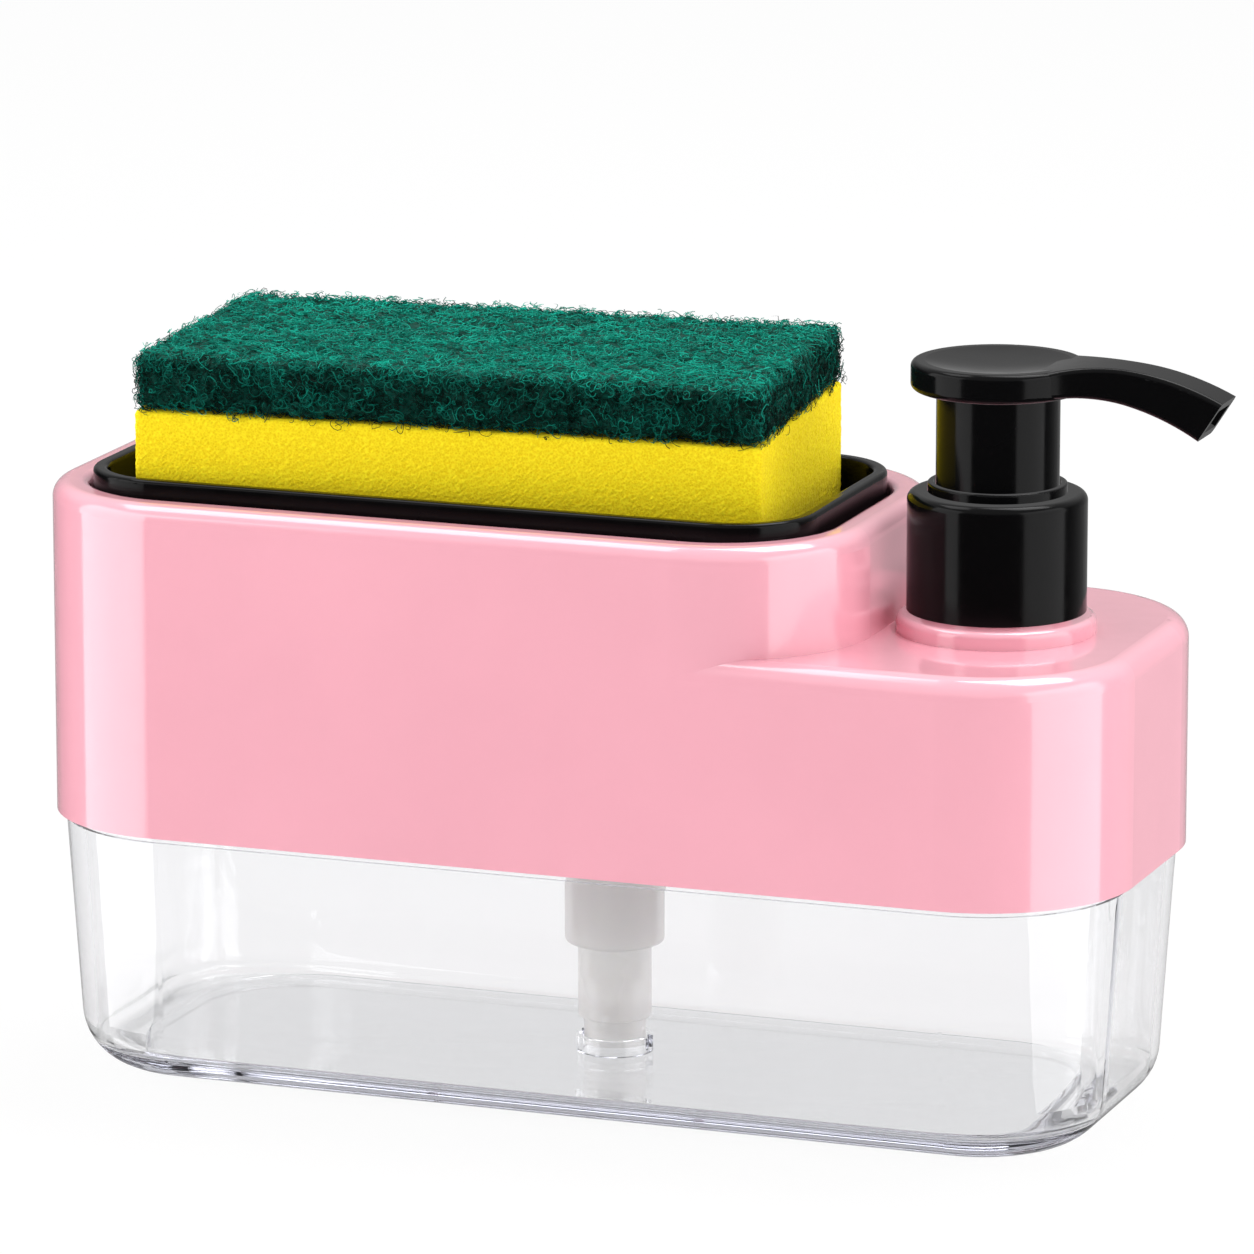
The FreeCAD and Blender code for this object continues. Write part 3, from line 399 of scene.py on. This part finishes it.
def make_foam():
    """Foam block with grainy faces and small open pores, its top leaning to the front."""
    draws = np.random.default_rng(SEED)
    height = pad_high[2] - PAD_THICK - foam_low[2] - SPONGE_LEAN * SPONGE_SIZE.y / 2
    size = (SPONGE_SIZE.x - 2 * FOAM_INSET, SPONGE_SIZE.y - 2 * FOAM_INSET, height)
    points, faces = rounded_block(size, FOAM_CELL, FOAM_ROUND)
    obj = mesh_object("foam", points, faces, foam_material(), WELD)
    mesh = obj.data
    place = coordinates_of(mesh)
    outward = normals_of(mesh)
    lift = draws.normal(0, FOAM_GRAIN, len(place))
    chosen = draws.choice(len(place), FOAM_PORES, replace=False)
    tree = KDTree(len(place))
    for i, p in enumerate(place):
        tree.insert(p, i)
    tree.balance()
    for index in chosen:
        radius = draws.uniform(*FOAM_PORE_RADIUS)
        for _, i, distance in tree.find_range(place[index], radius):
            lift[i] -= FOAM_PORE_DEPTH * (1 - (distance / radius) ** 2)
    lift = np.minimum(lift, FOAM_INSET)
    place = place + outward * lift[:, None]
    place[:, 2] = np.clip(place[:, 2], -height / 2, height / 2) + height / 2
    place[:, 2] *= 1 + SPONGE_LEAN * place[:, 1] / height
    mesh.vertices.foreach_set("co", place.ravel())
    mesh.update()
    mesh.transform(sponge_frame(foam_low[2]))
    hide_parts("sponge_foam")
    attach(obj, "sponge")


make_foam()

PAD_INSET = 0.9 * MM
PAD_CELL = 0.8 * MM
PAD_ROUND = 1.3 * MM
PAD_LUMP = 0.22 * MM
PAD_FURROW = 0.55 * MM
PAD_CORNER_PULL = 4.0 * MM
STRANDS = 42000
STRAND_RADIUS = (0.05 * MM, 0.095 * MM)
STRAND_LENGTH = (2.2 * MM, 6.0 * MM)
STRAND_BEND = (2.0, 8.5)
STRAND_WAVE = (0.1 * MM, 0.45 * MM)
STRAND_RATE = (3.0, 9.0)
STRAND_STEPS = 8
STRAND_SIDES = 3
SIDE_STRANDS = 1.7
STRAND_LIFT = (-0.8 * MM, 0.6 * MM)
FRINGE_SHARE = 0.35
FRINGE_LIFT = (0.85 * MM, 1.2 * MM)
FRINGE_DROP = (-0.4 * MM, 1.3 * MM)
FRINGE_FROM = -0.3
STRANDS_FROM = -0.46
STRAND_SCATTER = 0.4 * MM
SIDE_FACING = 0.5
CORE_PAINTED_SHADE = 0.09
REACH_LOW = np.array((1.2, 1.2, 1.8)) * MM
REACH_HIGH = np.array((1.2, 1.2, 0.8)) * MM


def furrows(place):
    """Soft ridges and hollows of the matted surface, from -1 to 1, longer along X than along Y."""
    x = place[:, 0] / MM
    y = place[:, 1] / MM
    z = place[:, 2] / MM
    along = np.sin(0.21 * x + 1.3 * np.sin(0.33 * y + 0.4 * z))
    across = np.sin(0.62 * y + 0.9 * np.sin(0.17 * x) + 0.5 * z)
    slow = along * across
    quick = np.sin(0.83 * x + 0.6 * z + 1.1) * np.sin(1.31 * y - 0.7 * z + 0.4)
    return 0.6 * slow + 0.4 * quick


def set_pad(place, size):
    """Squeeze the far left upper corner in a little and lean the layer to the front."""
    left = np.clip(0.5 - place[:, 0] / size[0], 0, 1) ** 6
    back = np.clip(0.5 + place[:, 1] / size[1], 0, 1) ** 1.5
    upper = np.clip(0.5 + place[:, 2] / size[2], 0, 1)
    moved = place.copy()
    moved[:, 0] += PAD_CORNER_PULL * left * back * upper
    moved[:, 2] += SPONGE_LEAN * place[:, 1]
    return moved


def strand_paths(draws, starts, outward, lift):
    """Curly strands that creep along the surface around their starts, lifted off it."""
    count = len(starts)
    guess = draws.normal(size=(count, 3))
    along = guess - outward * np.sum(guess * outward, axis=1, keepdims=True)
    along /= np.linalg.norm(along, axis=1, keepdims=True)
    across = np.cross(outward, along)
    length = draws.uniform(*STRAND_LENGTH, count)
    bend = draws.uniform(*STRAND_BEND, count) * draws.choice((-1, 1), count)
    wave = draws.uniform(*STRAND_WAVE, (count, 1))
    phase = draws.uniform(0, 2 * math.pi, (count, 1))
    rate = draws.uniform(*STRAND_RATE, (count, 1))
    steps = np.linspace(0, 1, STRAND_STEPS + 1)
    angle = (bend[:, None] * steps + 0.5 * np.sin(phase + 7 * steps))[:, :, None]
    direction = np.cos(angle) * along[:, None] + np.sin(angle) * across[:, None]
    path = np.cumsum(direction, axis=1) * (length / STRAND_STEPS)[:, None, None]
    path -= path.mean(axis=1, keepdims=True)
    rise = lift[:, None] + wave * np.sin(phase + rate * steps)
    return starts[:, None] + path + rise[:, :, None] * outward[:, None]


def tubes(paths, radius, sides):
    """Rings of points around each path."""
    tangent = np.gradient(paths, axis=1)
    tangent /= np.linalg.norm(tangent, axis=2, keepdims=True)
    first = np.cross(tangent, np.array((0.31, 0.52, 0.79)))
    first /= np.linalg.norm(first, axis=2, keepdims=True)
    second = np.cross(tangent, first)
    turns = (np.arange(sides) * (2 * math.pi / sides))[:, None]
    ring = np.cos(turns) * first[:, :, None] + np.sin(turns) * second[:, :, None]
    return (paths[:, :, None] + radius[:, None, None, None] * ring).reshape(-1, 3)


def tube_faces(rings, sides):
    faces = []
    for ring in range(rings - 1):
        for side in range(sides):
            a = ring * sides + side
            b = ring * sides + (side + 1) % sides
            faces.append((a, b, b + sides, a + sides))
    faces.append(tuple(range(sides))[::-1])
    faces.append(tuple((rings - 1) * sides + side for side in range(sides)))
    return faces


def repeated_mesh(name, points, faces, copies, material):
    """One mesh of many closed pieces that share a face pattern."""
    pattern = np.concatenate([np.array(f) for f in faces])
    lengths = np.tile([len(f) for f in faces], copies)
    step = len(points) // copies
    mesh = bpy.data.meshes.new(name)
    mesh.vertices.add(len(points))
    mesh.vertices.foreach_set("co", np.asarray(points, dtype=np.float32).ravel())
    corners = (pattern[None, :] + step * np.arange(copies)[:, None]).ravel().astype(np.int32)
    mesh.loops.add(len(corners))
    mesh.loops.foreach_set("vertex_index", corners)
    mesh.polygons.add(len(lengths))
    mesh.polygons.foreach_set("loop_start", (np.cumsum(lengths) - lengths).astype(np.int32))
    mesh.update(calc_edges=True)
    mesh.materials.append(material)
    obj = bpy.data.objects.new(name, mesh)
    bpy.context.scene.collection.objects.link(obj)
    return obj


def set_tint(mesh, values):
    attribute = mesh.attributes.new("tint", "FLOAT", "POINT")
    attribute.data.foreach_set("value", np.asarray(values, dtype=np.float32))


def make_pad():
    """Fibre layer: a furrowed core painted dark as the shade deep in the mat, under many curly strands."""
    draws = np.random.default_rng(SEED + 1)
    size = np.array((SPONGE_SIZE.x, SPONGE_SIZE.y, PAD_THICK))
    core_points, core_faces = rounded_block(size - 2 * PAD_INSET, PAD_CELL, PAD_ROUND)
    material = fibre_material()
    core = mesh_object("pad_core", core_points, core_faces, material, WELD)
    place = coordinates_of(core.data)
    outward = normals_of(core.data)
    swell = PAD_FURROW * furrows(place) + draws.normal(0, PAD_LUMP, len(place))
    place = place + outward * swell[:, None]
    core.data.vertices.foreach_set("co", set_pad(place, size).ravel())
    # The core gets a dark tint: painted shade between and under the strands.
    set_tint(core.data, np.full(len(place), CORE_PAINTED_SHADE))
    shown = np.flatnonzero(place[:, 2] > STRANDS_FROM * PAD_THICK)
    weight = np.where(np.abs(outward[shown, 2]) < SIDE_FACING, SIDE_STRANDS, 1.0)
    starts = draws.choice(shown, STRANDS, p=weight / weight.sum())
    facing = outward[starts]
    begin = place[starts] + draws.normal(0, STRAND_SCATTER, (STRANDS, 3))
    lift = draws.uniform(*STRAND_LIFT, STRANDS)
    height = (lift - STRAND_LIFT[0]) / (STRAND_LIFT[1] - STRAND_LIFT[0])
    low_side = (np.abs(facing[:, 2]) < SIDE_FACING) & (begin[:, 2] < FRINGE_FROM * PAD_THICK)
    fringe = low_side & (draws.random(STRANDS) < FRINGE_SHARE)
    lift = np.where(fringe, draws.uniform(*FRINGE_LIFT, STRANDS), lift)
    begin[:, 2] -= np.where(fringe, draws.uniform(*FRINGE_DROP, STRANDS), 0)
    paths = strand_paths(draws, begin, facing, lift)
    points = tubes(paths, draws.uniform(*STRAND_RADIUS, STRANDS), STRAND_SIDES)
    # Strand tint: a random tone plus painted light and shade. Deeper strands are darker, upward-facing
    # strands lighter, side-facing strands darker, and strands in the furrows' hollows darker than on the
    # ridges.
    tone_and_painted_shade = 0.65 * draws.beta(0.8, 1.1, STRANDS) + 0.35 * height
    upward = np.clip(facing[:, 2], 0, 1)
    tone_and_painted_shade += 0.5 * upward - 0.46 + (0.12 + 0.2 * upward) * furrows(place[starts])
    reach = size / 2
    points = np.clip(points, -reach - REACH_LOW, reach + REACH_HIGH)
    rings = STRAND_STEPS + 1
    pattern = tube_faces(rings, STRAND_SIDES)
    strands = repeated_mesh("pad_fibres", set_pad(points, size), pattern, STRANDS, material)
    set_tint(strands.data, np.repeat(np.clip(tone_and_painted_shade, 0, 1), rings * STRAND_SIDES))
    for obj in (core, strands):
        obj.data.update()
        obj.data.transform(sponge_frame(pad_high[2] - (PAD_THICK + SPONGE_LEAN * SPONGE_SIZE.y) / 2))
        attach(obj, "sponge")
    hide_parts("scouring_pad")


make_pad()


# Studio

LIGHT_TARGET = (0, 0, 0.08)


def area_light(name, turn, rise, distance, width, height, watts):
    """Soft box that faces the object, at a plan angle from +X and a height angle."""
    light = bpy.data.lights.new(name, "AREA")
    light.shape = "RECTANGLE"
    light.size = width
    light.size_y = height
    light.energy = watts
    obj = bpy.data.objects.new(name, light)
    target = Vector(LIGHT_TARGET)
    direction = Vector((math.cos(turn) * math.cos(rise), math.sin(turn) * math.cos(rise), math.sin(rise)))
    obj.location = target + direction * distance
    obj.rotation_euler = direction.to_track_quat("Z", "Y").to_euler()
    bpy.context.scene.collection.objects.link(obj)


area_light("left_box", math.radians(-147), math.radians(8), 1.5, 1.55, 1.9, 25)
area_light("right_box", math.radians(-7), math.radians(8), 1.5, 1.75, 1.9, 25)
area_light("top_box", math.radians(60), math.radians(68), 1.5, 1.0, 0.7, 15)
area_light("rim_box", math.radians(178), math.radians(65), 1.5, 0.9, 0.5, 6)

AMBIENT = 0.39
SKY = 0.80
ROOM_FRONT = 0.02
ROOM_BACK = 0.35
THROUGH_LOW = 0.92
THROUGH_HIGH = 0.08
BEHIND_STEP = (0.35, 0.95)
ABOVE_STEP = (0.18, 0.60)
STEEP_STEP = (0.35, 0.75)


def choose(nodes, links, factor, first, second):
    """One shader where the factor is 0, the other where it is 1."""
    mix = nodes.new("ShaderNodeMixShader")
    links.new(factor, mix.inputs["Fac"])
    links.new(first, mix.inputs[1])
    links.new(second, mix.inputs[2])
    return mix.outputs["Shader"]


def between(nodes, links, source, low, high):
    """Soft step from 0 below low to 1 above high."""
    step = nodes.new("ShaderNodeMapRange")
    step.interpolation_type = "SMOOTHSTEP"
    step.inputs["From Min"].default_value = low
    step.inputs["From Max"].default_value = high
    links.new(source, step.inputs["Value"])
    return step.outputs["Result"]


def glow_of(nodes, strength):
    background = nodes.new("ShaderNodeBackground")
    background.inputs["Color"].default_value = (1, 1, 1, 1)
    background.inputs["Strength"].default_value = strength
    return background.outputs["Background"]


def make_world():
    """White where the camera sees it, an even fill for the light, a room with a bright upper half, dark front
    and pale back for reflections, and a dark ceiling for what clear walls bend upwards."""
    world = bpy.data.worlds.new("studio")
    world.use_nodes = True
    nodes = world.node_tree.nodes
    links = world.node_tree.links
    path = nodes.new("ShaderNodeLightPath")
    coordinates = nodes.new("ShaderNodeTexCoord")
    parts = nodes.new("ShaderNodeSeparateXYZ")
    links.new(coordinates.outputs["Generated"], parts.inputs["Vector"])
    behind = between(nodes, links, parts.outputs["Y"], *BEHIND_STEP)
    above = between(nodes, links, parts.outputs["Z"], *ABOVE_STEP)
    room = choose(nodes, links, behind, glow_of(nodes, ROOM_FRONT), glow_of(nodes, ROOM_BACK))
    mirrored = choose(nodes, links, above, room, glow_of(nodes, SKY))
    light = choose(nodes, links, path.outputs["Is Glossy Ray"], glow_of(nodes, AMBIENT), mirrored)
    steep = between(nodes, links, parts.outputs["Z"], *STEEP_STEP)
    through = choose(nodes, links, steep, glow_of(nodes, THROUGH_LOW), glow_of(nodes, THROUGH_HIGH))
    light = choose(nodes, links, path.outputs["Is Transmission Ray"], light, through)
    light = choose(nodes, links, path.outputs["Is Camera Ray"], light, glow_of(nodes, 1.0))
    links.new(light, nodes["World Output"].inputs["Surface"])
    bpy.context.scene.world = world


FLOOR_REACH = 6.0
FLOOR_SEEN = 0.92
FLOOR_THROUGH = 0.62


def make_floor():
    """Pale floor, lifted to white for the rays that see it, but for a share that keeps the shadow."""
    material, nodes, links, shader = new_material("floor")
    shader.inputs["Base Color"].default_value = (*FLOOR, 1)
    shader.inputs["Roughness"].default_value = 0.9
    shader.inputs["Specular IOR Level"].default_value = 0.0
    path = nodes.new("ShaderNodeLightPath")
    seen = nodes.new("ShaderNodeMath")
    seen.operation = "MULTIPLY"
    seen.inputs[1].default_value = FLOOR_SEEN
    links.new(path.outputs["Is Camera Ray"], seen.inputs[0])
    share = nodes.new("ShaderNodeMath")
    share.operation = "MULTIPLY_ADD"
    share.inputs[1].default_value = FLOOR_THROUGH
    links.new(path.outputs["Is Transmission Ray"], share.inputs[0])
    links.new(seen.outputs["Value"], share.inputs[2])
    white = nodes.new("ShaderNodeEmission")
    white.inputs["Strength"].default_value = 1.0
    surface = choose(nodes, links, share.outputs["Value"], shader.outputs["BSDF"], white.outputs["Emission"])
    links.new(surface, nodes["Material Output"].inputs["Surface"])
    corners = [(x * FLOOR_REACH, y * FLOOR_REACH, 0) for x, y in ((-1, -1), (1, -1), (1, 1), (-1, 1))]
    floor = mesh_object("floor", corners, [(0, 1, 2, 3)], material)
    floor.visible_glossy = False


make_world()
make_floor()

# The tank casts no shadow, the pump is left out of reflections and shadows, and the cover isn't seen
# through the clear plastic

frame["nodes"]["tank"].visible_shadow = False
for pump_part in ("closure_shell", "pump_head", "closure_insert", "neck_gasket", "pump_housing", "stem_guide",
                  "pump_stem", "outlet_ball"):
    frame["nodes"][pump_part].visible_glossy = False
    frame["nodes"][pump_part].visible_shadow = False
frame["nodes"]["shell"].visible_transmission = False

# Clear plastic leads light along its floor and walls, which takes many turns

CLEAR_BOUNCES = 24
MIRROR_BOUNCES = 20
light_paths = bpy.context.scene.cycles
light_paths.max_bounces = CLEAR_BOUNCES
light_paths.glossy_bounces = MIRROR_BOUNCES
light_paths.transmission_bounces = CLEAR_BOUNCES


def make_camera():
    back = Vector((math.sin(CAMERA_TURN) * math.cos(CAMERA_RISE),
                   -math.cos(CAMERA_TURN) * math.cos(CAMERA_RISE), math.sin(CAMERA_RISE)))
    right = Vector((math.cos(CAMERA_TURN), math.sin(CAMERA_TURN), 0))
    up = back.cross(right)
    camera = bpy.data.cameras.new("camera")
    camera.sensor_width = SENSOR
    camera.lens = FOCAL_PIXELS / IMAGE_PIXELS * SENSOR
    camera.clip_end = 50
    obj = bpy.data.objects.new("camera", camera)
    axes = Matrix((right, up, back)).transposed().to_4x4()
    place = back * CAMERA_DISTANCE + right * CAMERA_ASIDE + up * CAMERA_UP
    obj.matrix_world = Matrix.Translation(place) @ axes
    bpy.context.scene.collection.objects.link(obj)
    bpy.context.scene.camera = obj


make_camera()
bpy.context.scene.view_settings.view_transform = "Standard"
